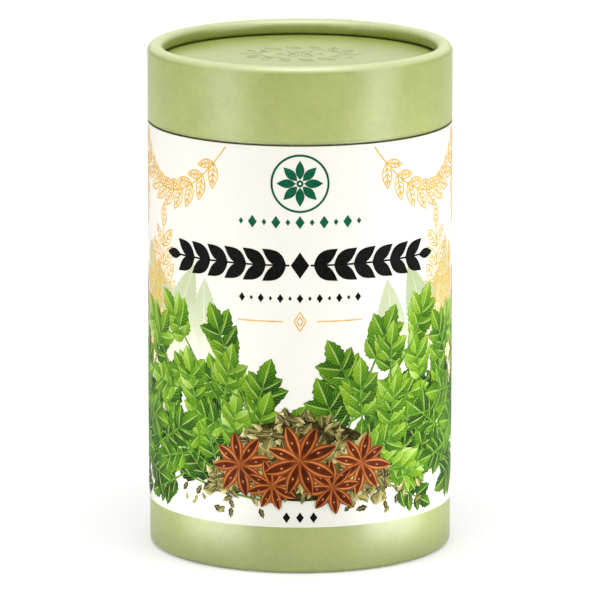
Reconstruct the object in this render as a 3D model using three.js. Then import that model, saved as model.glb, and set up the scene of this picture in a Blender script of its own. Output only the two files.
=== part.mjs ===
// A round paperboard canister for dried herbs, with a push-on lid.
// Millimetres, +Z up. The origin is the centre of the ring that the canister stands on.
// Every piece is round about the canister's axis, so each one is an outline of
// (radius, height) points, turned about that axis.

import * as THREE from "three";

// Outside sizes
const OUTER_RADIUS = 50; // over the label, and over the lid's cover paper
const TOTAL_HEIGHT = 167; // from the surface it stands on to the crown of the lid's bead
const LID_HEIGHT = 25.3; // from the crown of the bead to the lid's lower edge
const BAND_HEIGHT = 15.7; // of the green band below the label
const SKIRT_GAP = 0.35; // between the lid's lower edge and the shoulder of the body

// Thickness of the boards and papers
const TUBE_WALL = 1.6;
const NECK_WALL = 1.5;
const DISC_BOARD = 2;
const COVER_PAPER = 0.25;
const LABEL_PAPER = 0.2;
const FOIL = 0.2;
const GLUE_GAP = 0.02; // between two faces that are glued together

// The lid's rolled bead, its turned-in edge, and the body's bottom edge, bent in and pressed flat
const BEAD_RADIUS = 2.6; // over the cover paper
const BEAD_SWEEP_DEG = 240; // how far the wall rolls over, from facing outwards
const DISC_RECESS = 5.25; // from the crown of the bead to the face of the lid's disc
const SKIRT_BEND = 0.9; // over the cover paper, where it turns in under the skirt's lower edge
const BASE_BEND = 1.9; // over the cover paper
const FLANGE_RADIUS = 43; // where the bent-in board ends
const PAPER_SHORT = 1; // how far short of the bent-in board's end the paper stops
const RIM_CHAMFER = 0.4; // eases the lid onto the neck

// How finely the round shapes are cut
const SIDES = 64;
const CHORD_DEG = 30; // of the arcs in an outline

// Radii of the layers, from the outside in
const lidTubeRadius = OUTER_RADIUS - COVER_PAPER - GLUE_GAP;
const lidDiscRadius = lidTubeRadius - TUBE_WALL - GLUE_GAP;
const bodyPaperRadius = OUTER_RADIUS - LABEL_PAPER - GLUE_GAP;
const bodyTubeRadius = bodyPaperRadius - COVER_PAPER - GLUE_GAP;
const neckRadius = bodyTubeRadius - TUBE_WALL - GLUE_GAP;
const foilRadius = neckRadius - NECK_WALL - GLUE_GAP;

// Heights, from the top of the lid down and from the base up
const lidEdge = TOTAL_HEIGHT - LID_HEIGHT;
const shoulder = lidEdge - SKIRT_GAP;
const lidPaperFloor = TOTAL_HEIGHT - DISC_RECESS - COVER_PAPER;
const lidDiscFloor = lidPaperFloor - GLUE_GAP - DISC_BOARD;
const neckRim = lidDiscFloor - GLUE_GAP;
const flangeFloor = COVER_PAPER + GLUE_GAP;
const basePaperFloor = flangeFloor + TUBE_WALL + GLUE_GAP;
const baseDiscFloor = basePaperFloor + COVER_PAPER + GLUE_GAP;
const neckFloor = baseDiscFloor + DISC_BOARD + GLUE_GAP;

const greenPaper = new THREE.MeshStandardMaterial({ color: 0xb9c582, roughness: 0.5, metalness: 0 });
const creamPaper = new THREE.MeshStandardMaterial({ color: 0xfbf8ee, roughness: 0.45, metalness: 0 });
const kraftBoard = new THREE.MeshStandardMaterial({ color: 0xb59a72, roughness: 0.9, metalness: 0 });
const whiteBoard = new THREE.MeshStandardMaterial({ color: 0xefe9dc, roughness: 0.8, metalness: 0 });
const foil = new THREE.MeshStandardMaterial({ color: 0xc9cbcd, roughness: 0.3, metalness: 1 });

// Turns a list of [radius, height] points about the axis into one named mesh.
function turned(name, outline, material) {
  const points = outline.map(([radius, height]) => new THREE.Vector2(radius, height));
  const geometry = new THREE.LatheGeometry(points, SIDES);
  geometry.rotateX(Math.PI / 2); // a lathe turns about Y
  const mesh = new THREE.Mesh(geometry, material);
  mesh.name = name;
  return mesh;
}

// Points on an arc about a centre, from one angle to another, both in degrees.
function arc(centreRadius, centreHeight, size, from, to) {
  const chords = Math.round(Math.abs(to - from) / CHORD_DEG);
  const points = [];
  for (let i = 0; i <= chords; i++) {
    const angle = THREE.MathUtils.degToRad(from + ((to - from) * i) / chords);
    points.push([centreRadius + size * Math.cos(angle), centreHeight + size * Math.sin(angle)]);
  }
  return points;
}

function closed(points) {
  return [...points, points[0]];
}

// The lid's board, from its rounded lower edge up, round the bead and back down inside.
function lidBoard() {
  const corner = SKIRT_BEND - COVER_PAPER - GLUE_GAP;
  const inner = lidTubeRadius - TUBE_WALL;
  return closed([
    [inner, lidEdge + SKIRT_BEND - corner],
    ...arc(lidTubeRadius - corner, lidEdge + SKIRT_BEND, corner, -90, 0),
    ...bead(lidTubeRadius, 1),
    ...bead(inner, -1),
  ]);
}

// The lid's paper turns in under the board's lower edge and runs over the bead.
function lidPaper() {
  const centreRadius = OUTER_RADIUS - SKIRT_BEND;
  const centreHeight = lidEdge + SKIRT_BEND;
  const end = lidTubeRadius - TUBE_WALL;
  return closed([
    [end, lidEdge],
    ...arc(centreRadius, centreHeight, SKIRT_BEND, -90, 0),
    ...bead(OUTER_RADIUS, 1),
    ...bead(OUTER_RADIUS - COVER_PAPER, -1),
    ...arc(centreRadius, centreHeight, SKIRT_BEND - COVER_PAPER, 0, -90),
    [end, lidEdge + COVER_PAPER],
  ]);
}

// The roll of a wall of this radius about the centre line of the bead, over it or back.
function bead(radius, direction) {
  const centreRadius = OUTER_RADIUS - BEAD_RADIUS;
  const ends = direction > 0 ? [0, BEAD_SWEEP_DEG] : [BEAD_SWEEP_DEG, 0];
  return arc(centreRadius, TOTAL_HEIGHT - BEAD_RADIUS, radius - centreRadius, ...ends);
}

// The board's bottom edge is bent in and pressed, which leaves a sharp corner inside.
function bodyBoard() {
  const bend = BASE_BEND - COVER_PAPER - GLUE_GAP;
  const inner = bodyTubeRadius - TUBE_WALL;
  return closed([
    [FLANGE_RADIUS, flangeFloor],
    ...arc(bodyTubeRadius - bend, flangeFloor + bend, bend, -90, 0),
    [bodyTubeRadius, shoulder],
    [inner, shoulder],
    [inner, flangeFloor + TUBE_WALL],
    [FLANGE_RADIUS, flangeFloor + TUBE_WALL],
  ]);
}

// The paper follows the board round the bend and is what the canister stands on.
function bodyPaper() {
  const centreRadius = bodyPaperRadius - BASE_BEND;
  const end = FLANGE_RADIUS + PAPER_SHORT;
  return closed([
    [end, 0],
    ...arc(centreRadius, BASE_BEND, BASE_BEND, -90, 0),
    [bodyPaperRadius, shoulder],
    [bodyPaperRadius - COVER_PAPER, shoulder],
    ...arc(centreRadius, BASE_BEND, BASE_BEND - COVER_PAPER, 0, -90),
    [end, COVER_PAPER],
  ]);
}

function sleeve(radius, thickness, low, high) {
  return closed([
    [radius - thickness, low],
    [radius, low],
    [radius, high],
    [radius - thickness, high],
  ]);
}

function disc(radius, low, thickness) {
  return [
    [0, low],
    [radius, low],
    [radius, low + thickness],
    [0, low + thickness],
  ];
}

// The outer edge of the rim is eased, so that the lid finds its way on.
function neck() {
  const inner = neckRadius - NECK_WALL;
  return closed([
    [inner, neckFloor],
    [neckRadius, neckFloor],
    [neckRadius, neckRim - RIM_CHAMFER],
    [neckRadius - RIM_CHAMFER, neckRim],
    [inner, neckRim],
  ]);
}

// The lining is a thin cup that stands on the base disc, inside the neck tube.
function linerCup() {
  const lip = neckRim - RIM_CHAMFER;
  return [
    [0, neckFloor],
    [foilRadius, neckFloor],
    [foilRadius, lip],
    [foilRadius - FOIL, lip],
    [foilRadius - FOIL, neckFloor + FOIL],
    [0, neckFloor + FOIL],
  ];
}

const canister = new THREE.Group();
canister.add(
  turned("body_tube", bodyBoard(), kraftBoard),
  turned("body_cover_paper", bodyPaper(), greenPaper),
  turned("label", sleeve(OUTER_RADIUS, LABEL_PAPER, BAND_HEIGHT, shoulder), creamPaper),
  turned("neck_tube", neck(), whiteBoard),
  turned("foil_liner", linerCup(), foil),
  turned("base_disc", disc(neckRadius, baseDiscFloor, DISC_BOARD), kraftBoard),
  turned("base_disc_paper", disc(neckRadius, basePaperFloor, COVER_PAPER), greenPaper),
);

const lid = new THREE.Group();
lid.add(
  turned("lid_tube", lidBoard(), kraftBoard),
  turned("lid_cover_paper", lidPaper(), greenPaper),
  turned("lid_disc", disc(lidDiscRadius, lidDiscFloor, DISC_BOARD), kraftBoard),
  turned("lid_disc_paper", disc(lidDiscRadius, lidPaperFloor, COVER_PAPER), greenPaper),
);

const herbCanister = new THREE.Group();
herbCanister.add(canister, lid);

export default herbCanister;
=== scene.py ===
import math
import random

import bpy
import numpy as np
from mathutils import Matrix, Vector


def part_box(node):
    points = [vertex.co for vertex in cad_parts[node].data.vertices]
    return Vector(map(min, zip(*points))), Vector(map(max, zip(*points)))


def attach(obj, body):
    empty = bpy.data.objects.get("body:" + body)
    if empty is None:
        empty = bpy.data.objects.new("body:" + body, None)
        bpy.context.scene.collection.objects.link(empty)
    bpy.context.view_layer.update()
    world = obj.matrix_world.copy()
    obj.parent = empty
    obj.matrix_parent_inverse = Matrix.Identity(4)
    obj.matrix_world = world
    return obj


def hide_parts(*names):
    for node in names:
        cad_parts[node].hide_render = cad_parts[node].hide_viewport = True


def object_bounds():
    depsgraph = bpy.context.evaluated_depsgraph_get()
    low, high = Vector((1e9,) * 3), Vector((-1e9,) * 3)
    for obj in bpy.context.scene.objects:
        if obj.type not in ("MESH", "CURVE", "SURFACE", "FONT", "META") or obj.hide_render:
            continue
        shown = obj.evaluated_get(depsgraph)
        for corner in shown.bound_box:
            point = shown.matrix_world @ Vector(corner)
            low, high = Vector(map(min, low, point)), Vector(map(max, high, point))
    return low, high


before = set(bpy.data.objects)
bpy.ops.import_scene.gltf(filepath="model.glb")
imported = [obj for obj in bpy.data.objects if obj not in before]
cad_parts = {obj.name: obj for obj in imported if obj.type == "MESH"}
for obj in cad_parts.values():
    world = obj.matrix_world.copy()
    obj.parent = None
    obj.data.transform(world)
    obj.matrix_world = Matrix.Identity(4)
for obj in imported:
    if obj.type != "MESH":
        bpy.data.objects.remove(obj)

cad_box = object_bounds()

# The camera: a long lens a little above the lid, square on to the front of the label,
# aimed a few millimetres below the middle of the canister.
CAMERA_DISTANCE = 2.093
CAMERA_RISE = math.radians(11.8)
LENS_MM = 380.5
AIM_DROP = 0.0028
middle = Vector((0, 0, (cad_box[0][2] + cad_box[1][2]) / 2))
aim = middle - Vector((0, 0, AIM_DROP))
bpy.ops.object.select_all(action="DESELECT")
bpy.ops.object.camera_add(
    location=middle + CAMERA_DISTANCE * Vector((0, -math.cos(CAMERA_RISE), math.sin(CAMERA_RISE)))
)
camera = bpy.context.object
camera.name = "camera"
camera.data.lens = LENS_MM
camera.data.sensor_width = 36
camera.data.clip_end = 50
camera.rotation_euler = (aim - camera.location).to_track_quat("-Z", "Y").to_euler()
bpy.context.scene.camera = camera

# The studio: a white floor whose far part glows a little to stay white, a dim surround,
# and softboxes. A tall one and a strip lying on the floor stand on each side in front,
# for the upright highlights on the paper, and wide ones in front, above and behind.


def linear(hex_colour):
    """A hex colour as the linear numbers that shader sockets take."""
    parts = [int(hex_colour[i : i + 2], 16) / 255 for i in (1, 3, 5)]
    return (*[p / 12.92 if p <= 0.04045 else ((p + 0.055) / 1.055) ** 2.4 for p in parts], 1)


class Wire:
    """An output of a material's node. Sums on it add Math nodes."""

    def __init__(self, finish, socket):
        self.finish = finish
        self.socket = socket

    def maths(self, operation, *values):
        return self.finish.maths(operation, *values)

    def __add__(self, other):
        return self.maths("ADD", self, other)

    def __sub__(self, other):
        return self.maths("SUBTRACT", self, other)

    def __rsub__(self, other):
        return self.maths("SUBTRACT", other, self)

    def __mul__(self, other):
        return self.maths("MULTIPLY", self, other)

    def __truediv__(self, other):
        return self.maths("DIVIDE", self, other)

    def __pow__(self, other):
        return self.maths("POWER", self, other)

    def __abs__(self):
        return self.maths("ABSOLUTE", self)

    __radd__ = __add__
    __rmul__ = __mul__


class Finish:
    """The material of a piece. Constants go on the shader, and patterns are added to it."""

    def __init__(self, name, **constants):
        self.material = bpy.data.materials.new(name)
        self.material.use_nodes = True
        self.nodes = self.material.node_tree.nodes
        self.shader = self.nodes["Principled BSDF"]
        for socket, value in constants.items():
            self.shader.inputs[socket.replace("_", " ")].default_value = value

    def link(self, value, socket):
        if isinstance(value, Wire):
            self.material.node_tree.links.new(value.socket, socket)
        else:
            socket.default_value = value

    def add(self, kind, settings=None, inputs=None, output=0):
        """Adds a node, sets it up, then feeds its sockets with numbers or wires."""
        node = self.nodes.new("ShaderNode" + kind)
        for setting, value in (settings or {}).items():
            if setting == "stops":
                while len(node.color_ramp.elements) < len(value):
                    node.color_ramp.elements.new(0.5)
                for element, (position, hex_colour) in zip(node.color_ramp.elements, value):
                    element.position = position
                    element.color = linear(hex_colour)
            else:
                setattr(node, setting, value)
        for socket, value in (inputs or {}).items():
            self.link(value, node.inputs[socket])
        return Wire(self, node.outputs[output])

    def place(self):
        """The place on the piece, in metres in the canister's frame."""
        return self.add("TexCoord", output="Object")

    def axes(self, vector):
        parts = self.add("SeparateXYZ", inputs={0: vector})
        return [Wire(self, socket) for socket in parts.socket.node.outputs]

    def maths(self, operation, *values):
        return self.add("Math", {"operation": operation}, dict(enumerate(values)))

    def noise(self, vector, scale, detail=3, roughness=0.5):
        sizes = {"Vector": vector, "Scale": scale, "Detail": detail, "Roughness": roughness}
        return self.add("TexNoise", inputs=sizes)

    def between(self, value, low, high):
        """Goes smoothly from 0 to 1 as the value goes from low to high."""
        ends = {0: value, 1: low, 2: high}
        return self.add("MapRange", {"interpolation_type": "SMOOTHSTEP"}, ends)

    def blend(self, share, first, second):
        """Goes from one colour to the other as share goes from 0 to 1."""
        colours = [linear(c) if isinstance(c, str) else c for c in (first, second)]
        return self.add("Mix", {"data_type": "RGBA"}, {0: share, 6: colours[0], 7: colours[1]}, output=2)

    def paint(self, socket, value):
        self.link(value, self.shader.inputs[socket])

    def relief(self, height, distance):
        """Raises the surface by up to distance, in metres, where height is 1."""
        bump = self.add("Bump", inputs={"Height": height, "Distance": distance})
        self.paint("Normal", bump)

    def dress(self, *pieces):
        for piece in pieces:
            piece.data.materials.clear()
            piece.data.materials.append(self.material)


bpy.context.scene.view_settings.view_transform = "Standard"
bpy.ops.mesh.primitive_circle_add(vertices=96, radius=8, fill_type="NGON", location=(0, 0, 0))
floor = bpy.context.object
floor.name = "studio_floor"
white_floor = Finish(
    "studio_floor",
    Base_Color=(0.6, 0.6, 0.6, 1),
    Roughness=0.9,
    Specular_IOR_Level=0.1,
    Emission_Strength=1,
)
nearness = white_floor.add(
    "TexGradient", {"gradient_type": "SPHERICAL"}, {"Vector": white_floor.place()}, output="Fac"
)
glow = white_floor.add("MapRange", inputs={"Value": nearness, "To Min": 0.6, "To Max": 0.36})
white_floor.paint("Emission Color", glow)
white_floor.dress(floor)

surround = bpy.data.worlds.new("surround")
surround.use_nodes = True
surround.node_tree.nodes["Background"].inputs["Color"].default_value = (1, 1, 1, 1)
surround.node_tree.nodes["Background"].inputs["Strength"].default_value = 0.15
bpy.context.scene.world = surround


def softbox(name, location, rotation, width, height, brightness):
    bpy.ops.object.light_add(type="AREA", location=location)
    light = bpy.context.object
    light.name = name
    light.data.shape = "RECTANGLE"
    light.data.size = width
    light.data.size_y = height
    light.data.energy = brightness * math.pi * width * height
    light.rotation_euler = rotation


def facing_softbox(name, turn_deg, rise_deg, distance, width, height, brightness):
    """A softbox that faces the canister, turned round it from the front."""
    turn = math.radians(turn_deg)
    rise = math.radians(rise_deg)
    away = Vector((math.sin(turn) * math.cos(rise), -math.cos(turn) * math.cos(rise), math.sin(rise)))
    rotation = away.to_track_quat("Z", "Y").to_euler()
    softbox(name, middle + distance * away, rotation, width, height, brightness)


STRIP_SIZE = (0.07, 0.325)
STRIP_DISTANCE = 0.2375  # from the canister's axis to the strip's middle
STRIP_HEIGHT = 0.002


def floor_softbox(name, turn_deg, brightness):
    """A strip that lies on the floor and points away from the canister, facing up."""
    turn = math.radians(turn_deg)
    away = Vector((math.sin(turn), -math.cos(turn), 0))
    location = STRIP_DISTANCE * away + Vector((0, 0, STRIP_HEIGHT))
    softbox(name, location, (math.pi, 0, turn), *STRIP_SIZE, brightness)


facing_softbox("left_softbox", -55, 19, 0.48, 0.2, 0.52, 2.4)
floor_softbox("left_floor_softbox", -51, 4.2)
facing_softbox("right_softbox", 60, 19, 0.48, 0.22, 0.52, 2.8)
floor_softbox("right_floor_softbox", 57, 5.6)
facing_softbox("front_softbox", 0, 30, 1.5, 0.7, 0.7, 0.8)
facing_softbox("top_softbox", 0, 84, 1.2, 0.8, 0.8, 6.6)
facing_softbox("back_softbox", 180, 29, 1.6, 2.4, 1.1, 1.2)

# The body tube is spirally wound from brown kraft board. Its lower edge is bent in
# and pressed flat, and its upper edge is cut square, where the plies show as rings.
MM = 0.001
SIDES = 256
BOARD_WALL = 1.6
TUBE_BEND = 1.63  # of the lower edge, over the board
FLANGE_RADIUS = 43  # where the bent-in board ends
PLY = 0.4


def board_finish(name, dark, light, lead):
    """Board: fibres and flecks, the rings of its plies where it is cut, and a winding seam."""
    finish = Finish(name, Roughness=0.88, Specular_IOR_Level=0.25)
    place = finish.place()
    x, y, z = finish.axes(place)
    radius = (x * x + y * y) ** 0.5
    plies = finish.maths("SINE", radius * (2 * math.pi / (PLY * MM)))
    fibres = finish.noise(place, 900, 4, 0.65)
    flecks = finish.between(finish.noise(place, 2600, 2), 0.62, 0.74)
    turns = finish.maths("ARCTAN2", y, x) / (2 * math.pi) + z / (lead * MM)
    seam = finish.between(abs(finish.maths("FRACT", turns) - 0.5), 0.008, 0.003)
    shade = fibres * 0.8 + plies * 0.1 + 0.08 - flecks * 0.3 - seam * 0.4
    finish.paint("Base Color", finish.blend(shade, dark, light))
    finish.relief(fibres + plies * 0.2 - seam * 2, 0.05 * MM)
    return finish


def turned(name, outline):
    """Pulls a ring of edges through the (radius, height) points of a closed outline, in mm."""
    bpy.ops.object.select_all(action="DESELECT")
    radius, height = outline[0]
    bpy.ops.mesh.primitive_circle_add(vertices=SIDES, radius=radius * MM, location=(0, 0, height * MM))
    piece = bpy.context.object
    piece.name = name
    piece.data.name = name
    bpy.ops.object.transform_apply(location=True, rotation=True, scale=True)
    bpy.ops.object.mode_set(mode="EDIT")
    bpy.ops.mesh.select_all(action="SELECT")
    for next_radius, next_height in outline[1:]:
        lift = (0, 0, (next_height - height) * MM)
        bpy.ops.mesh.extrude_edges_move(TRANSFORM_OT_translate={"value": lift})
        grow = next_radius / radius
        bpy.ops.transform.resize(value=(grow, grow, 1), center_override=(0, 0, 0))
        radius, height = next_radius, next_height
    bpy.ops.mesh.select_all(action="SELECT")
    bpy.ops.mesh.remove_doubles(threshold=0.002 * MM)
    bpy.ops.mesh.select_all(action="SELECT")
    bpy.ops.mesh.fill_holes(sides=0)
    bpy.ops.mesh.select_all(action="SELECT")
    bpy.ops.mesh.normals_make_consistent(inside=False)
    bpy.ops.object.mode_set(mode="OBJECT")
    return piece


def pick(piece):
    """Selects this piece alone and makes it the active one."""
    bpy.ops.object.select_all(action="DESELECT")
    piece.select_set(True)
    bpy.context.view_layer.objects.active = piece


def finished(piece, soften=0.0, angle_deg=35):
    """Eases the sharp edges by soften, in mm, and shades the rest smooth."""
    pick(piece)
    if soften:
        bevel = piece.modifiers.new("eased_edges", "BEVEL")
        bevel.width = soften * MM
        bevel.segments = 2
        bevel.limit_method = "ANGLE"
        bevel.angle_limit = math.radians(50)
        bevel.use_clamp_overlap = True
        bpy.ops.object.modifier_apply(modifier=bevel.name)
    bpy.ops.object.shade_smooth_by_angle(angle=math.radians(angle_deg))
    return piece


def bend_points(centre_radius, centre_height, size, start_deg, end_deg, steps):
    """Points on an arc, for the outline of a bent or rolled edge."""
    points = []
    for step in range(steps + 1):
        angle = math.radians(start_deg + (end_deg - start_deg) * step / steps)
        points.append((centre_radius + size * math.cos(angle), centre_height + size * math.sin(angle)))
    return points


def closed(points):
    return [*points, points[0]]


tube_low, tube_high = [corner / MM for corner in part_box("body_tube")]
tube_radius = tube_high[0]
tube_inner = tube_radius - BOARD_WALL
body_tube = turned(
    "body_tube_board",
    closed(
        [
            (FLANGE_RADIUS, tube_low[2]),
            *bend_points(tube_radius - TUBE_BEND, tube_low[2] + TUBE_BEND, TUBE_BEND, -90, 0, 6),
            (tube_radius, tube_high[2]),
            (tube_inner, tube_high[2]),
            (tube_inner, tube_low[2] + BOARD_WALL),
            (FLANGE_RADIUS, tube_low[2] + BOARD_WALL),
        ]
    ),
)
finished(body_tube, soften=0.12)
kraft = board_finish("kraft_board", "#8d7350", "#cbb48c", lead=90)
kraft.dress(body_tube)
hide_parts("body_tube")
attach(body_tube, "canister")

# The body's cover paper is sage green paper with a satin face, glued round the tube,
# folded in under its lower edge, and covered by the label above the bottom band.
PAPER = 0.25
BASE_BEND = 1.9
PAPER_SHORT = 1  # how far short of the bent-in board's end the paper stops
PLEATS = 72
skirt_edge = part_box("lid_cover_paper")[0][2] / MM
bead_crown = cad_box[1][2] / MM


def green_paper_finish(name, pressed_face=None):
    """Dyed paper: cloudy and faintly fibrous, pleated and rubbed where it turns under.

    It has painted shade, darker, at its lower folds and along the lid skirt's lower edge,
    and a painted highlight, paler, over the crown of the bead, where it is also duller.
    Lines that are pressed below a flat face, whose height is given in mm, have painted
    shade, darker than it, and are shinier than it.
    """
    finish = Finish(name, IOR=1.9)
    place = finish.place()
    x, y, z = finish.axes(place)
    clouds = finish.noise(place, 60, 4, 0.6)
    fibres = finish.noise(place, 1500, 3, 0.6)
    grain = finish.noise(place, 420, 3, 0.6)
    tone = clouds * 0.45 + grain * 0.35 + fibres * 0.2
    green = finish.blend(finish.between(tone, 0.35, 0.65), "#8d9845", "#9ca655")
    # Painted shade: darker at the lower folds and along the lid skirt's lower edge.
    near_skirt = finish.between(z, (skirt_edge + 1.3) * MM, (skirt_edge + 0.4) * MM)
    past_body = finish.between(z, (skirt_edge - 0.4) * MM, (skirt_edge - 0.1) * MM)
    painted_shade = finish.between(z, 1.6 * MM, 0.4 * MM) + near_skirt * past_body
    green = finish.blend(painted_shade * 0.6, green, "#5d6828")
    underside = finish.between(z, 0.9 * MM, 0.2 * MM)
    rubbed = underside * finish.between(finish.noise(place, 700, 2), 0.5, 0.62) * 0.5
    pleats = finish.maths("SINE", finish.maths("ARCTAN2", y, x) * PLEATS) * underside
    # Paler where rubbed under the base, which is wear, and a painted highlight, paler, over the crown of
    # the bead.
    crown = finish.between(z, (bead_crown - 2.4) * MM, (bead_crown - 0.6) * MM)
    green = finish.blend(rubbed + crown * 0.5, green, "#d9dfb4")
    roughness = 0.26 + clouds * 0.1 + grain * 0.12 + crown * 0.11
    if pressed_face:
        # Painted shade: the pressed lines are darker than the flat face.
        pressed = finish.between(z, (pressed_face - 0.03) * MM, (pressed_face - 0.14) * MM)
        green = finish.blend(pressed * 0.6, green, "#64702a")
        roughness = roughness - pressed * 0.04
    finish.paint("Base Color", green)
    finish.paint("Roughness", roughness)
    finish.relief(grain * 0.6 + fibres * 0.4 + pleats * 8, 0.012 * MM)
    return finish


paper_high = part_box("body_cover_paper")[1] / MM
paper_radius = paper_high[0]
paper_end = FLANGE_RADIUS + PAPER_SHORT
bend_centre = (paper_radius - BASE_BEND, BASE_BEND)
body_paper = turned(
    "body_cover_paper_green",
    closed(
        [
            (paper_end, 0),
            *bend_points(*bend_centre, BASE_BEND, -90, 0, 10),
            (paper_radius, 12),  # keeps the shading of the bend off the wall above
            (paper_radius, paper_high[2]),
            (paper_radius - PAPER, paper_high[2]),
            *bend_points(*bend_centre, BASE_BEND - PAPER, 0, -90, 10),
            (paper_end, PAPER),
        ]
    ),
)
finished(body_paper)
green = green_paper_finish("green_paper")
green.dress(body_paper)
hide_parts("body_cover_paper")
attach(body_paper, "canister")


LAP = 9  # how far a cover paper's end laps over its start
LAP_SINK = 0.04  # how far a lap is let into the paper below it


def lap_strip(name, outline, turn_deg):
    """The strip where a paper's end laps over its start, along (radius, height) points, in mm."""
    bpy.ops.object.select_all(action="DESELECT")
    rows = len(outline) - 1
    bpy.ops.mesh.primitive_grid_add(x_subdivisions=4, y_subdivisions=rows, size=1)
    strip = bpy.context.object
    strip.name = name
    strip.data.name = name
    for vertex in strip.data.vertices:
        radius, height = outline[round((vertex.co.y + 0.5) * rows)]
        angle = math.radians(turn_deg) + vertex.co.x * LAP / radius
        vertex.co = (radius * MM * math.sin(angle), -radius * MM * math.cos(angle), height * MM)
    wall = strip.modifiers.new("thickness", "SOLIDIFY")
    wall.thickness = (PAPER - LAP_SINK) * MM
    wall.offset = 1
    bpy.ops.object.modifier_apply(modifier=wall.name)
    return finished(strip)


band_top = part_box("label")[0][2] / MM
body_lap = lap_strip(
    "body_cover_paper_lap",
    [
        *bend_points(*bend_centre, BASE_BEND - LAP_SINK, -30, 0, 4),
        (paper_radius - LAP_SINK, 9),
        (paper_radius - LAP_SINK, band_top - 0.03),  # just clear of the label
    ],
    turn_deg=-158,
)
green.dress(body_lap)
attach(body_lap, "canister")

# The base is a disc of board that rests on the bent-in edge, faced below with the
# same green paper. Both are glued in before the neck tube.
for node, name, finish, slot in (
    ("base_disc", "base_disc_board", kraft, "kraft_board"),
    ("base_disc_paper", "base_disc_paper_green", green, "green_paper"),
):
    low, high = [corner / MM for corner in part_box(node)]
    disc = turned(name, [(high[0], low[2]), (high[0], high[2])])
    finished(disc, soften=0.04)
    finish.dress(disc)
    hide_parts(node)
    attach(disc, "canister")

# The neck is a thinner tube of white-lined board, glued inside the body tube and
# standing proud of it, so that the lid pushes on over it. Its rim is eased.
neck_low, neck_high = [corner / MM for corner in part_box("neck_tube")]
NECK_WALL = 1.5
RIM_CHAMFER = 0.4
RIM_EASE = 0.12
neck_radius = neck_high[0]
neck = turned(
    "neck_tube_board",
    closed(
        [
            (neck_radius - NECK_WALL, neck_low[2]),
            (neck_radius, neck_low[2]),
            (neck_radius, neck_high[2] - RIM_CHAMFER),
            (neck_radius - RIM_EASE, neck_high[2] - RIM_EASE),
            (neck_radius - RIM_CHAMFER, neck_high[2]),
            (neck_radius - NECK_WALL, neck_high[2]),
        ]
    ),
)
finished(neck, soften=0.05)
white_board = board_finish("white_board", "#d9d2c2", "#f4f0e6", lead=76)
white_board.dress(neck)
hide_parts("neck_tube")
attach(neck, "canister")

# The lining is a cup of aluminium foil laminate, pressed against the neck and the
# base. It is wrinkled a little, mostly upright, and bright inside.
FOIL = 0.2
CUP_MIDDLE = 0.5  # radius of the small ring that is filled in the floor of the cup
foil_low, foil_high = [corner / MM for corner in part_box("foil_liner")]
foil_radius = foil_high[0]
liner = turned(
    "foil_liner_cup",
    [
        (CUP_MIDDLE, foil_low[2]),
        (foil_radius, foil_low[2]),
        (foil_radius, foil_high[2]),
        (foil_radius - FOIL, foil_high[2]),
        (foil_radius - FOIL, foil_low[2] + FOIL),
        (CUP_MIDDLE, foil_low[2] + FOIL),
    ],
)
finished(liner)
foil = Finish("foil", Metallic=0.45)
foil_place = foil.place()
drawn_out = foil.add("VectorMath", {"operation": "MULTIPLY"}, {0: foil_place, 1: (1, 1, 0.22)})
wrinkles = foil.noise(drawn_out, 190, 3, 0.55)
dents = foil.noise(foil_place, 110, 2)
foil.paint("Base Color", foil.blend(foil.between(wrinkles, 0.3, 0.7), "#dfe1e3", "#fafbfb"))
foil.paint("Roughness", 0.28 + dents * 0.2)
foil.relief(wrinkles + dents * 0.5, 1.1 * MM)
foil.dress(liner)
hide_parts("foil_liner")
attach(liner, "canister")

# The label is one printed sheet of cream paper wrapped round the body. Its right-hand
# edge laps over its left-hand edge at the back, where it is glued.
LABEL_PAPER = 0.2
LABEL_LAP = 8
LAP_RISE = 3.2  # how far along it the lap takes to rise by the sheet's thickness
PAST_SEAM = 1.6  # how far the label's end is carried past its start
label_low, label_high = [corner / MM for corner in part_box("label")]
label_radius = label_high[0]
label_floor = label_low[2]
label_top = label_high[2]
half_turn = math.pi * label_radius


def wrap(piece, lapped=False):
    """Rolls a flat piece round the body: x runs round it to the right, y up, z outwards."""
    count = len(piece.data.vertices)
    flat = np.empty(count * 3)
    piece.data.vertices.foreach_get("co", flat)
    across, up, out = flat.reshape(-1, 3).T
    reach = label_radius * MM + out
    if lapped:
        past = across / MM - (half_turn - LABEL_LAP)
        reach = reach + LABEL_PAPER * MM * np.clip(past / LAP_RISE, 0, 1)
    angle = across / (label_radius * MM)
    rolled = np.stack([reach * np.sin(angle), -reach * np.cos(angle), up], axis=1)
    piece.data.vertices.foreach_set("co", rolled.ravel())
    piece.data.update()
    return piece


def flat_grid(name, low, high, columns, rows):
    """A flat grid of faces between two corners, in mm, ready to be wrapped."""
    bpy.ops.object.select_all(action="DESELECT")
    bpy.ops.mesh.primitive_grid_add(x_subdivisions=columns, y_subdivisions=rows, size=1)
    sheet = bpy.context.object
    sheet.name = name
    sheet.data.name = name
    sheet.scale = ((high[0] - low[0]) * MM, (high[1] - low[1]) * MM, 1)
    sheet.location = ((high[0] + low[0]) / 2 * MM, (high[1] + low[1]) / 2 * MM, 0)
    bpy.ops.object.transform_apply(location=True, rotation=True, scale=True)
    return sheet


def thicken(piece, thickness):
    """Gives a flat sheet its thickness, in mm, downwards from its face."""
    pick(piece)
    wall = piece.modifiers.new("thickness", "SOLIDIFY")
    wall.thickness = thickness * MM
    wall.offset = -1
    bpy.ops.object.modifier_apply(modifier=wall.name)


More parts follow.
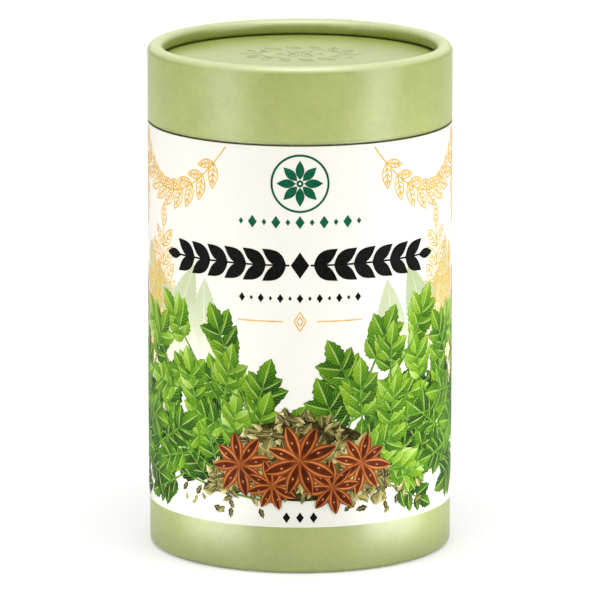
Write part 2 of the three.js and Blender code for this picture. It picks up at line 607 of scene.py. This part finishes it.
label = flat_grid(
    "label_sheet",
    (-half_turn, label_floor),
    (half_turn + PAST_SEAM, label_top),
    264,
    12,
)
thicken(label, LABEL_PAPER)
wrap(label, lapped=True)
finished(label)
label_paper = Finish("label_paper", IOR=1.45)
label_place = label_paper.place()
pulp = label_paper.noise(label_place, 1300, 3, 0.6)
cloud = label_paper.noise(label_place, 45, 3)
label_paper.paint(
    "Base Color", label_paper.blend(pulp * 0.5 + cloud * 0.5, "#dcd9ce", "#e3e1d7")
)
label_paper.paint("Roughness", 0.44 + pulp * 0.1)
label_paper.relief(pulp, 0.006 * MM)
label_paper.dress(label)
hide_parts("label")
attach(label, "canister")

# The print on the label lies in thin ink films, later ones over earlier ones. It is
# drawn flat, in mm round the body and up it, then wrapped. First come large pale
# leaves, as a faint ground behind the rest.
PRINT_FLOOR = 0.01
PRINT_STEP = 0.005  # from one film up to the next one over it
INK = 0.0025  # the thickness of a film
MARGIN = 1.0  # of bare paper along the label's upper and lower edges
SHRINK = 0.85  # what a blade is shrunk by, again and again, until the margins clear it
LEVEL_GAP = 10  # holds a pen's lines apart by level until they are pressed flat
PEN_STEP = 0.9  # the furthest that the points of a pen's line are apart
BED_HEIGHT = 170
BED_WIDTH = 360
BED_CELLS = 2  # in a millimetre
bed = np.zeros((BED_HEIGHT * BED_CELLS, BED_WIDTH * BED_CELLS), int)  # ink levels so far
footprints = {}  # points all over each blade, to look up the levels under it
draw = random.Random(7)


def ink_levels(prints):
    """A level for each set of (across, up) places, above all that is printed there before."""
    cells = []
    for across, up in prints:
        columns = ((across + BED_WIDTH / 2) * BED_CELLS).astype(int)
        cells.append(((up * BED_CELLS).astype(int), columns))
    levels = [int(bed[under].max()) + 1 for under in cells]
    for under, level in zip(cells, levels):
        bed[under] = np.maximum(bed[under], level)
    return levels


def blade(name, columns, rows, half_width, teeth=0.0):
    """A flat blade, one long and one wide, whose guide tells how far along and across."""
    bpy.ops.object.select_all(action="DESELECT")
    bpy.ops.mesh.primitive_grid_add(x_subdivisions=columns, y_subdivisions=rows, size=1)
    shape = bpy.context.object
    shape.name = name
    guide = shape.data.attributes.new("guide", "FLOAT_VECTOR", "POINT")
    for vertex in shape.data.vertices:
        along = vertex.co.x + 0.5
        across = vertex.co.y * 2
        guide.data[vertex.index].vector = (along, across, 0)
        notch = 1 - teeth * (round(along * columns) % 2) * abs(across) ** 3
        vertex.co = (along, across * half_width(along) * notch, 0)
    thicken(shape, INK)
    shares = np.linspace(-1, 1, 9)
    spots = [(step, share * half_width(step)) for step in np.linspace(0, 1, 18) for share in shares]
    footprints[name] = np.array(spots)
    return shape


def placed(points, at, heading_deg, length, width, bow):
    """Takes a blade's (along, aside) points to their place on the flat label, in mm."""
    along = points[0] * length
    aside = points[1] * width + bow * points[0] ** 2 * length
    turn = math.radians(heading_deg)
    across = at[0] + along * math.cos(turn) - aside * math.sin(turn)
    up = at[1] + along * math.sin(turn) + aside * math.cos(turn)
    return across, up


def printed(shape, at, heading_deg, length, width, tone=0.5, bow=0.0):
    """Prints a copy of a blade, with its stalk end at a place, over what is there."""
    low = label_floor + MARGIN
    high = label_top - MARGIN
    at = (at[0], min(max(at[1], low + 0.5), high - 0.5))
    spots = placed(footprints[shape.name].T, at, heading_deg, length, width, bow)
    while spots[1].min() < low or spots[1].max() > high:
        length *= SHRINK
        width *= SHRINK
        spots = placed(footprints[shape.name].T, at, heading_deg, length, width, bow)
    copy = shape.copy()
    copy.data = shape.data.copy()
    bpy.context.collection.objects.link(copy)
    flat = np.empty(len(copy.data.vertices) * 3)
    copy.data.vertices.foreach_get("co", flat)
    flat = flat.reshape(-1, 3).T
    across, up = placed(flat[:2], at, heading_deg, length, width, bow)
    (level,) = ink_levels([spots])
    lift = (PRINT_FLOOR + PRINT_STEP * level) * MM
    copy.data.vertices.foreach_set(
        "co", np.stack([across * MM, up * MM, flat[2] + lift], axis=1).ravel()
    )
    guide = np.empty(flat.size)
    copy.data.attributes["guide"].data.foreach_get("vector", guide)
    guide[2::3] = tone
    copy.data.attributes["guide"].data.foreach_set("vector", guide)
    return copy


def joined(name, copies):
    """Makes one wrapped piece of all the copies."""
    bpy.ops.object.select_all(action="DESELECT")
    for copy in copies:
        copy.select_set(True)
    bpy.context.view_layer.objects.active = copies[0]
    if len(copies) > 1:
        bpy.ops.object.join()
    piece = bpy.context.object
    piece.name = name
    piece.data.name = name
    return finished(wrap(piece))


def strokes(name, lines, heights, radius, taper=0.0, roundness=0):
    """Round strokes along lines of (across, up) points, in mm. A loop ends where it began."""
    curve = bpy.data.curves.new(name, "CURVE")
    curve.dimensions = "3D"
    curve.twist_mode = "Z_UP"
    curve.bevel_depth = radius * MM
    curve.bevel_resolution = roundness
    curve.use_fill_caps = True
    for line, height in zip(lines, heights):
        is_loop = math.dist(line[0], line[-1]) < 0.001
        points = line[:-1] if is_loop else line
        spline = curve.splines.new("POLY")
        spline.points.add(len(points) - 1)
        spline.use_cyclic_u = is_loop
        for index, (across, up) in enumerate(points):
            spline.points[index].co = (across * MM, up * MM, height * MM, 1)
            spline.points[index].radius = 1 - taper * index / (len(points) - 1)
    piece = bpy.data.objects.new(name, curve)
    bpy.context.collection.objects.link(piece)
    pick(piece)
    bpy.ops.object.convert(target="MESH")
    return bpy.context.object


def fine(line):
    """The same line with its points no further apart than the pen's step."""
    points = [line[0]]
    for start, end in zip(line, line[1:]):
        parts = max(math.ceil(math.dist(start, end) / PEN_STEP), 1)
        reach = np.array(end) - start
        points += [tuple(start + reach * part / parts) for part in range(1, parts)]
        points.append(end)
    return points


def pen(name, lines, width, taper=0.0):
    """Prints lines of an even width over what is there, all with one pass of the pen."""
    lines = [fine(line) for line in lines]
    heights = [LEVEL_GAP * level for level in ink_levels([np.array(line).T for line in lines])]
    piece = strokes(name, lines, heights, width / 2, taper)
    for vertex in piece.data.vertices:
        level = round(vertex.co.z / (LEVEL_GAP * MM))
        swell = (vertex.co.z - level * LEVEL_GAP * MM) / (width / 2 * MM)
        vertex.co.z = (PRINT_FLOOR + PRINT_STEP * level - INK / 2 + swell * INK / 2) * MM
    return finished(wrap(piece))


def settle(piece, finish):
    """Dresses a print and fixes it to the canister with the label."""
    finish.dress(piece)
    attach(piece, "canister")


def ink(name):
    return Finish(name, Roughness=0.5, Specular_IOR_Level=0.05)


def blade_guide(finish):
    """How far along and across its blade a place is, and the tone of that blade."""
    return finish.axes(finish.add("Attribute", {"attribute_name": "guide"}, output="Vector"))


def ink_finish(name, hex_colour, other):
    """Flat ink that varies a little over the sheet."""
    finish = ink(name)
    mottle = finish.noise(finish.place(), 700, 3)
    finish.paint("Base Color", finish.blend(finish.between(mottle, 0.35, 0.65), hex_colour, other))
    return finish


def oval(along):
    return 0.5 * math.sin(math.pi * min(max(along, 0.004), 0.99) ** 0.8) ** 0.85


def lance(along):
    return 0.5 * math.sin(math.pi * min(max(along, 0.004), 0.99) ** 0.9)


ground_blade = blade("ground_blade", 40, 16, oval, teeth=0.1)
ground_leaves = []
for side in (-1, 1):
    for across, up, heading, length in (
        (32, 62, 84, 34),
        (36, 64, 52, 34),
        (50, 66, 104, 36),
        (43, 60, 66, 40),
        (52, 62, 40, 34),
        (60, 66, 80, 38),
        (69, 60, 104, 36),
        (84, 60, 84, 34),
        (100, 60, 100, 30),
        (108, 54, 64, 32),
        (128, 58, 92, 32),
    ):
        lean = heading + draw.uniform(-5, 5)
        lean = lean if side > 0 else 180 - lean
        tone = draw.uniform(0, 1)
        ground_leaves.append(
            printed(ground_blade, (side * across, up), lean, length, length * 0.42, tone, 0.1 * side)
        )
ground_print = joined("label_print_pale_leaves", ground_leaves)
pale_ink = ink("pale_leaf_ink")
along, across, tone = blade_guide(pale_ink)
wash = pale_ink.noise(pale_ink.place(), 120, 4, 0.6)
rib = pale_ink.between(abs(across), 0.08, 0.02)
depth = pale_ink.between(along, 0, 0.75) * (0.45 + tone * 0.35 + wash * 0.3)
pale_ink.paint("Base Color", pale_ink.blend(depth - rib * 0.25, "#e6e4d0", "#9aab7c"))
settle(ground_print, pale_ink)

# Gold line work: garlands of line leaves hang in swags from the label's upper edge,
# with a sprig below each knot, and line sprigs stand among the green leaves.
GOLD_LINE = 0.44
SWAG_TOP = 140.2
SWAG_DROP = 17
SWAG_STEPS = 22


def stem_points(at, heading_deg, length, curl_deg, steps):
    """Points along a stem that curls evenly, each with the heading of the stem there."""
    across, up = at
    points = [(across, up, heading_deg)]
    for step in range(steps):
        heading = heading_deg + curl_deg * (step + 0.5) / steps
        across += length / steps * math.cos(math.radians(heading))
        up += length / steps * math.sin(math.radians(heading))
        points.append((across, up, heading_deg + curl_deg * (step + 1) / steps))
    return points


def line_leaf(at, heading_deg, length, width):
    """A leaf drawn in lines: its outline, its rib and three pairs of veins."""
    def lay(points):
        points = np.array(points).T
        return list(zip(*placed(points, at, heading_deg, length, width, 0.0)))

    steps = [step / 9 for step in range(10)]
    edge = [(0, 0)] + [(step, lance(step)) for step in steps[1:-1]] + [(1, 0)]
    other = [(step, -lance(step)) for step in reversed(steps[1:-1])]
    lines = [lay(edge + other + [(0, 0)]), lay([(0, 0), (0.3, 0), (0.6, 0), (0.86, 0)])]
    for root in (0.22, 0.42, 0.62):
        for side in (-1, 1):
            lines.append(lay([(root, 0), (root + 0.16, side * lance(root + 0.16) * 0.72)]))
    return lines


def line_sprig(at, heading_deg, length, curl_deg, leaf, pairs):
    """A stem with pairs of line leaves that shorten towards the one at its tip."""
    points = stem_points(at, heading_deg, length, curl_deg, pairs * 4)
    lines = [[(across, up) for across, up, heading in points]]
    for pair in range(1, pairs):
        across, up, heading = points[pair * 4]
        size = leaf * (1 - 0.4 * pair / pairs)
        for side in (-1, 1):
            lines += line_leaf((across, up), heading + side * 42, size, size * 0.44)
    across, up, heading = points[-1]
    return lines + line_leaf((across, up), heading, leaf * 0.62, leaf * 0.28)


gold_lines = []
for side in (-1, 1):
    for start, end in ((25, 75), (75, 125)):
        swag = []
        for step in range(SWAG_STEPS + 1):
            share = step / SWAG_STEPS
            drop = SWAG_DROP * (1 - (2 * share - 1) ** 2)
            swag.append((side * (start + (end - start) * share), SWAG_TOP - drop))
        gold_lines.append(swag)
        for step in range(2, SWAG_STEPS - 1, 2):
            (before, low), (after, high) = swag[step - 1], swag[step + 1]
            heading = math.degrees(math.atan2(high - low, after - before))
            for lean in (38, -38):
                size = 8.6 if lean * side < 0 else 6.6
                gold_lines += line_leaf(swag[step], heading + lean, size, size * 0.42)
    for knot, length in ((75, 30), (125, 26)):
        gold_lines += line_sprig((side * knot, 138), -90, length, 6 * side, 11, 5)
    for across, up, heading, length in (
        (53, 66, 84, 44),
        (64, 58, 88, 40),
        (76, 40, 94, 56),
        (98, 62, 92, 40),
        (146, 40, 92, 52),
    ):
        heading = heading if side > 0 else 180 - heading
        gold_lines += line_sprig((side * across, up), heading, length, 8 * side, 13, 7)
gold_print = pen("label_print_gold_lines", gold_lines, GOLD_LINE)
gold_ink = ink_finish("gold_ink", "#cf9f34", "#dfb650")
settle(gold_print, gold_ink)

# Green sprays: curling stems with feathered leaves of small toothed leaflets, laid
# one over another, the hindmost dark and the foremost bright.
leaflet_blade = blade("leaflet_blade", 10, 6, oval, teeth=0.2)
stem_lines = []
leaflets = []


def feathered_leaf(at, heading_deg, length, leaflet, tone):
    """A stalk with three pairs of leaflets and one at the tip."""
    points = stem_points(at, heading_deg, length, draw.uniform(-14, 14), 8)
    stem_lines.append([(across, up) for across, up, heading in points])
    for index, grow in ((3, 0.8), (5, 1.0), (7, 0.92)):
        across, up, heading = points[index]
        for side in (-1, 1):
            size = leaflet * grow * draw.uniform(0.88, 1.1)
            lean = heading + side * draw.uniform(46, 62)
            shade = tone + draw.uniform(-0.22, 0.22)
            leaflets.append(
                printed(leaflet_blade, (across, up), lean, size, size * 0.68, shade, -0.1 * side)
            )
    across, up, heading = points[-1]
    leaflets.append(
        printed(leaflet_blade, (across, up), heading, leaflet, leaflet * 0.72, tone + 0.08)
    )


def spray(at, heading_deg, length, curl_deg, tone):
    """A curling stem with feathered leaves on either side by turns, and one at its tip."""
    points = stem_points(at, heading_deg, length, curl_deg, 24)
    stem_lines.append([(across, up) for across, up, heading in points])
    for order, index in enumerate(range(7, 23, 4)):
        across, up, heading = points[index]
        side = 1 if order % 2 else -1
        lean = heading + side * draw.uniform(38, 52)
        reach = 17 * (1 - 0.3 * index / 24) * draw.uniform(0.9, 1.1)
        feathered_leaf((across, up), lean, reach, draw.uniform(8.2, 10), tone + 0.01 * order)
    across, up, heading = points[-1]
    feathered_leaf((across, up), heading, 15, 9.5, tone + 0.1)


for _ in range(150):
    side = draw.choice((-1, 1))
    at = (side * draw.uniform(14, 66), draw.uniform(26, 60))
    size = draw.uniform(8, 11)
    leaflets.append(
        printed(leaflet_blade, at, draw.uniform(20, 160), size, size * 0.66, draw.uniform(-0.4, -0.1))
    )
for root, stems in (
    (9, ((8, 74, 10), (78, 44, -14), (24, 70, 16), (62, 56, -12), (43, 62, 6))),
    (96, ((168, 42, -20), (12, 44, 20), (140, 50, -16), (40, 50, 16), (112, 46, -8), (72, 44, 8))),
    (142, ((160, 34, -14), (120, 42, -10), (90, 34, 4))),
):
    for order, (heading, length, curl) in enumerate(stems):
        for side in (-1, 1):
            lean = heading + draw.uniform(-3, 3)
            lean = lean if side > 0 else 180 - lean
            spray((side * root, 24), lean, length, curl * side, 0.26 + 0.66 * order / len(stems))
stems_print = pen("label_print_stems", stem_lines, 0.75, taper=0.35)
settle(stems_print, ink_finish("stem_ink", "#3f7016", "#6b9832"))
rear_print = joined("label_print_rear_leaves", leaflets[: len(leaflets) // 2])
front_print = joined("label_print_front_leaves", leaflets[len(leaflets) // 2 :])


def leaf_ink_finish(name, stops, vein, edge):
    """Leaf colours that follow each blade: a pale rib and veins, one half lit, a dark rim."""
    finish = ink(name)
    along, across, tone = blade_guide(finish)
    out = abs(across)
    mottle = finish.noise(finish.place(), 420, 4, 0.6)
    lit = finish.between(across, -0.25, 0.25)
    rib = finish.between(out, 0.13, 0.04)
    waves = finish.maths("PINGPONG", along * 7 - out * 2.4, 0.5)
    veins = finish.between(waves, 0.09, 0.01) * finish.between(out, 0.95, 0.75)
    cupped = finish.between(finish.maths("PINGPONG", along * 7 - out * 2.4 + 0.25, 0.5), 0, 0.5)
    shade = tone * 0.72 + lit * 0.2 + along * 0.32 + mottle * 0.2 + cupped * 0.08 - 0.3
    colour = finish.add("ValToRGB", {"stops": stops}, {0: shade})
    colour = finish.blend(veins * 0.4, colour, vein)
    colour = finish.blend(rib * 0.6, colour, vein)
    rim = finish.between(out, 0.8, 0.99)
    finish.paint("Base Color", finish.blend(rim * 0.75, colour, edge))
    return finish


leaf_ink = leaf_ink_finish(
    "green_leaf_ink",
    ((0, "#0a2404"), (0.3, "#1f4e05"), (0.55, "#4b7a0a"), (0.8, "#7ba022"), (1, "#abc777")),
    "#a9c166",
    "#0f3004",
)
settle(rear_print, leaf_ink)
settle(front_print, leaf_ink)

# A heap of small dried leaves, in olive and brown over a dark ground, with five
# star-shaped seed heads of eight open pods lying on it.
HEAP_FLOOR = 27
HEAP_HEIGHT = 26


def round_end(along):
    return math.sqrt(max(along * (1 - along), 0.0004))


seed_blade = blade("seed_blade", 8, 4, round_end)
mound_blade = blade("mound_blade", 56, 14, round_end)
mound_print = joined("label_print_heap_shade", [printed(mound_blade, (-25, 38), 0, 50, 27)])
settle(mound_print, ink_finish("heap_shade_ink", "#221c08", "#3c3617"))
crumb_blade = blade("crumb_blade", 6, 4, oval, teeth=0.3)
dried = []
for _ in range(520):
    across = draw.uniform(-30, 30)
    crown = HEAP_FLOOR + HEAP_HEIGHT * math.cos(math.pi * across / 66)
    at = (across, HEAP_FLOOR + (crown - HEAP_FLOOR) * draw.random())
    size = draw.uniform(3, 5.6)
    heading = draw.uniform(0, 360)
    width = size * draw.uniform(0.4, 0.75)
    dried.append(printed(crumb_blade, at, heading, size, width, draw.random()))
for _ in range(34):
    at = (draw.choice((-1, 1)) * draw.uniform(12, 46), draw.uniform(20, 26))
    size = draw.uniform(2.5, 4.5)
    dried.append(printed(crumb_blade, at, draw.uniform(0, 360), size, size * 0.55, draw.random()))
dried_print = joined("label_print_dried_leaves", dried)
settle(
    dried_print,
    leaf_ink_finish(
        "dried_leaf_ink",
        ((0, "#1d1706"), (0.3, "#4c451a"), (0.6, "#837a3d"), (0.8, "#ada46a"), (1, "#d8cf9c")),
        "#c6bd84",
        "#2c2710",
    ),
)


def pod_width(along):
    return 0.5 * math.sin(math.pi * min(max(along, 0.02), 0.985) ** 1.15) ** 0.8


pod_blade = blade("pod_blade", 12, 6, pod_width)
pods = []
seeds = []
for star_across, star_up, star_size, star_turn in (
    (-20, 36, 10.5, 10),
    (20.5, 36.5, 10, 32),
    (-9, 29.5, 8.8, 20),
    (10.5, 29, 9.2, 4),
    (0, 38, 11.8, 22),
):
    for arm in range(8):
        heading = star_turn + arm * 45 + draw.uniform(-4, 4)
        length = star_size * draw.uniform(0.9, 1.06)
        pods.append(
            printed(pod_blade, (star_across, star_up), heading, length, length * 0.42, draw.random())
        )
    for arm in range(8):
        heading = math.radians(star_turn + arm * 45)
        at = (
            star_across + star_size * 0.46 * math.cos(heading),
            star_up + star_size * 0.46 * math.sin(heading),
        )
        length = star_size * 0.22
        width = star_size * 0.13
        seeds.append(printed(seed_blade, at, math.degrees(heading), length, width, draw.random()))
pods_print = joined("label_print_seed_pods", pods)
pod_ink = ink("pod_ink")
along, across, tone = blade_guide(pod_ink)
out = abs(across)
grain = pod_ink.noise(pod_ink.place(), 500, 4, 0.65)
hollow = pod_ink.between(out, 0.5, 0.3) * pod_ink.between(along, 0.12, 0.3)
lip = pod_ink.between(out, 0.42, 0.58) * pod_ink.between(out, 0.86, 0.66)
shade = 0.3 + lip * 0.36 + tone * 0.2 + grain * 0.24 - hollow * 0.34
brown_stops = ((0, "#2c0f04"), (0.35, "#642a0c"), (0.65, "#8f481b"), (0.9, "#b9703a"), (1, "#cf9662"))
pod_ink.paint("Base Color", pod_ink.add("ValToRGB", {"stops": brown_stops}, {0: shade}))
settle(pods_print, pod_ink)

seeds_print = joined("label_print_seeds", seeds)
seed_ink = ink("seed_ink")
along, across, tone = blade_guide(seed_ink)
glint = seed_ink.between(abs(along - 0.4) + abs(across - 0.3) * 0.5, 0.28, 0.05)
seed_ink.paint("Base Color", seed_ink.blend(glint, "#5a2410", "#e0a070"))
settle(seeds_print, seed_ink)

# The front panel: a ringed rosette over a row of lozenges in dark green, a broad black
# leaf border, black lozenges in a row under it and near the label's lower edge, and a
# gold rule with a lozenge in the middle.
lance_blade = blade("lance_blade", 12, 6, lance)
lozenge_blade = blade("lozenge_blade", 8, 8, lambda along: max(0.5 - abs(along - 0.5), 0.01))
EMBLEM_UP = 129.3
BORDER_UP = 102.5
RULE_UP = 84


def ring_points(at, radius, steps):
    turns = [2 * math.pi * step / steps for step in range(steps)] + [0]
    return [(at[0] + radius * math.cos(turn), at[1] + radius * math.sin(turn)) for turn in turns]


rosette = [
    printed(
        lance_blade,
        (1.3 * math.cos(math.radians(heading)), EMBLEM_UP + 1.3 * math.sin(math.radians(heading))),
        heading,
        6.2,
        2.9,
    )
    for heading in range(0, 360, 45)
]
for step in range(-5, 6):
    tall = 4.2 if step % 2 == 0 else 2.2
    rosette.append(printed(lozenge_blade, (step * 3.9, 116.6 - tall / 2), 90, tall, tall * 0.72))
rosette_print = joined("label_print_rosette", rosette)
emblem_green = ink_finish("emblem_green_ink", "#0a4e34", "#0f5b3e")
settle(rosette_print, emblem_green)
ring_print = pen(
    "label_print_rings",
    [ring_points((0, EMBLEM_UP), 9.2, 64), ring_points((0, EMBLEM_UP), 0.8, 16)],
    0.75,
)
settle(ring_print, emblem_green)

border = []
for side in (-1, 1):
    for step in range(6):
        at = (side * (4.5 + step * 6.6), BORDER_UP)
        for lean in (34, -34):
            heading = lean if side > 0 else 180 - lean
            border.append(printed(lance_blade, at, heading, 9.4, 4.4))
    border.append(printed(lance_blade, (side * 44, BORDER_UP), 0 if side > 0 else 180, 7.5, 3.4))
border.append(printed(lozenge_blade, (0, 98.2), 90, 8.6, 6))
for step in range(-6, 7):
    tall = 3 if step % 2 == 0 else 1.6
    border.append(printed(lozenge_blade, (step * 3.2, 91.6 - tall / 2), 90, tall, tall * 0.7))
for step in (-1, 0, 1):
    border.append(printed(lozenge_blade, (step * 4.4, 17), 90, 3.6, 2.5))
border_print = joined("label_print_black_border", border)
black_ink = ink_finish("black_ink", "#070807", "#10110e")
settle(border_print, black_ink)
vine_lines = [
    [(side * (3.4 + 41 * step / 30), BORDER_UP) for step in range(31)] for side in (-1, 1)
]
vine_print = pen("label_print_border_vine", vine_lines, 0.6)
settle(vine_print, black_ink)

rule_lines = [
    [(side * (5.5 + 15 * step / 12), RULE_UP) for step in range(13)] for side in (-1, 1)
]
for half_width, half_height in ((1.9, 3.2), (0.95, 1.6)):
    low_end = (0, RULE_UP - half_height)
    high_end = (0, RULE_UP + half_height)
    rule_lines.append(
        [low_end, (half_width, RULE_UP), high_end, (-half_width, RULE_UP), low_end]
    )
rule_print = pen("label_print_gold_rule", rule_lines, 0.4)
settle(rule_print, gold_ink)

# The blades were only patterns for the prints.
for name in footprints:
    bpy.data.objects.remove(bpy.data.objects[name])

# The lid tube is a short board tube. Its upper edge is rolled inwards into a bead,
# and its rounded lower edge stands just clear of the body's shoulder.
BEAD_RADIUS = 2.6
BEAD_SWEEP = 240
SKIRT_BEND = 0.9
lid_low, lid_high = [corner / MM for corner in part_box("lid_tube")]
cover_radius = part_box("lid_cover_paper")[1][0] / MM
bead_centre = (cover_radius - BEAD_RADIUS, bead_crown - BEAD_RADIUS)
skirt_centre = (cover_radius - SKIRT_BEND, skirt_edge + SKIRT_BEND)
lid_inner = lid_high[0] - BOARD_WALL
board_bend = skirt_centre[1] - lid_low[2]
lid_tube = turned(
    "lid_tube_board",
    closed(
        [
            (lid_inner, lid_low[2]),
            *bend_points(*skirt_centre, board_bend, -90, 0, 6),
            *bend_points(*bead_centre, lid_high[0] - bead_centre[0], 0, BEAD_SWEEP, 16),
            *bend_points(*bead_centre, lid_inner - bead_centre[0], BEAD_SWEEP, 0, 16),
        ]
    ),
)
finished(lid_tube)
kraft.dress(lid_tube)
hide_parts("lid_tube")
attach(lid_tube, "lid")

# The lid's cover paper is turned in under the skirt's edge, goes up round the tube
# and over the bead, and is tucked in between the bead and the disc.
lid_cover = turned(
    "lid_cover_paper_green",
    closed(
        [
            (lid_inner, skirt_edge),
            *bend_points(*skirt_centre, SKIRT_BEND, -90, 0, 8),
            *bend_points(*bead_centre, BEAD_RADIUS, 0, BEAD_SWEEP, 30),
            *bend_points(*bead_centre, BEAD_RADIUS - PAPER, BEAD_SWEEP, 0, 30),
            *bend_points(*skirt_centre, SKIRT_BEND - PAPER, 0, -90, 8),
            (lid_inner, skirt_edge + PAPER),
        ]
    ),
)
finished(lid_cover)
green.dress(lid_cover)
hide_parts("lid_cover_paper")
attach(lid_cover, "lid")
lid_lap = lap_strip(
    "lid_cover_paper_lap",
    [
        *bend_points(*skirt_centre, SKIRT_BEND - LAP_SINK, -40, 0, 4),
        *bend_points(*bead_centre, BEAD_RADIUS - LAP_SINK, 0, 70, 9),
    ],
    turn_deg=164,
)
green.dress(lid_lap)
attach(lid_lap, "lid")

# The lid's disc is board, pushed up under the bead from inside and faced on top with
# green paper. A small ornament of line leaves is pressed into the facing.
disc_low, disc_high = [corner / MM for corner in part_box("lid_disc")]
lid_disc = turned("lid_disc_board", [(disc_high[0], disc_low[2]), (disc_high[0], disc_high[2])])
finished(lid_disc, soften=0.04)
kraft.dress(lid_disc)
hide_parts("lid_disc")
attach(lid_disc, "lid")

facing_low, facing_high = [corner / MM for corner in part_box("lid_disc_paper")]
face = facing_high[2]
lid_facing = turned("lid_disc_paper_green", [(facing_high[0], facing_low[2]), (facing_high[0], face)])
ORNAMENT_BACK = 7.5  # how far behind the disc's middle the ornament lies
RING_SIZE = (13.2, 8.6)
RING_LEAVES = 14
TOOL_RADIUS = 0.55
PRESSED = 0.21  # how deep the tool's line goes into the paper


def ring_place(share, size):
    """A place on the ornament's oval, a share of the way round it."""
    turn = 2 * math.pi * share
    return (size[0] * math.cos(turn), ORNAMENT_BACK + size[1] * math.sin(turn))


ornament = [[ring_place(step / 48, RING_SIZE) for step in [*range(48), 0]]]
for step in range(RING_LEAVES):
    share = (step + 0.5) / RING_LEAVES
    at = ring_place(share, (RING_SIZE[0] + 1, RING_SIZE[1] + 1))
    ahead = ring_place(share + 0.01, RING_SIZE)
    behind = ring_place(share - 0.01, RING_SIZE)
    heading = math.degrees(math.atan2(ahead[1] - behind[1], ahead[0] - behind[0]))
    ornament += line_leaf(at, heading - 50, 6.6, 3.2)[:2]
for heading in range(0, 360, 60):
    at = ring_place(heading / 360, (1.6, 1.2))
    ornament += line_leaf(at, heading, 6, 3)[:1]
tool = strokes(
    "tool", ornament, [face + TOOL_RADIUS - PRESSED] * len(ornament), TOOL_RADIUS, roundness=2
)
pressing = lid_facing.modifiers.new("pressing", "BOOLEAN")
pressing.object = tool
pressing.operation = "DIFFERENCE"
pressing.solver = "EXACT"
pressing.use_self = True
pick(lid_facing)
bpy.ops.object.modifier_apply(modifier=pressing.name)
bpy.data.objects.remove(tool)
finished(lid_facing, angle_deg=55)
green_paper_finish("pressed_green_paper", face).dress(lid_facing)
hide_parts("lid_disc_paper")
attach(lid_facing, "lid")
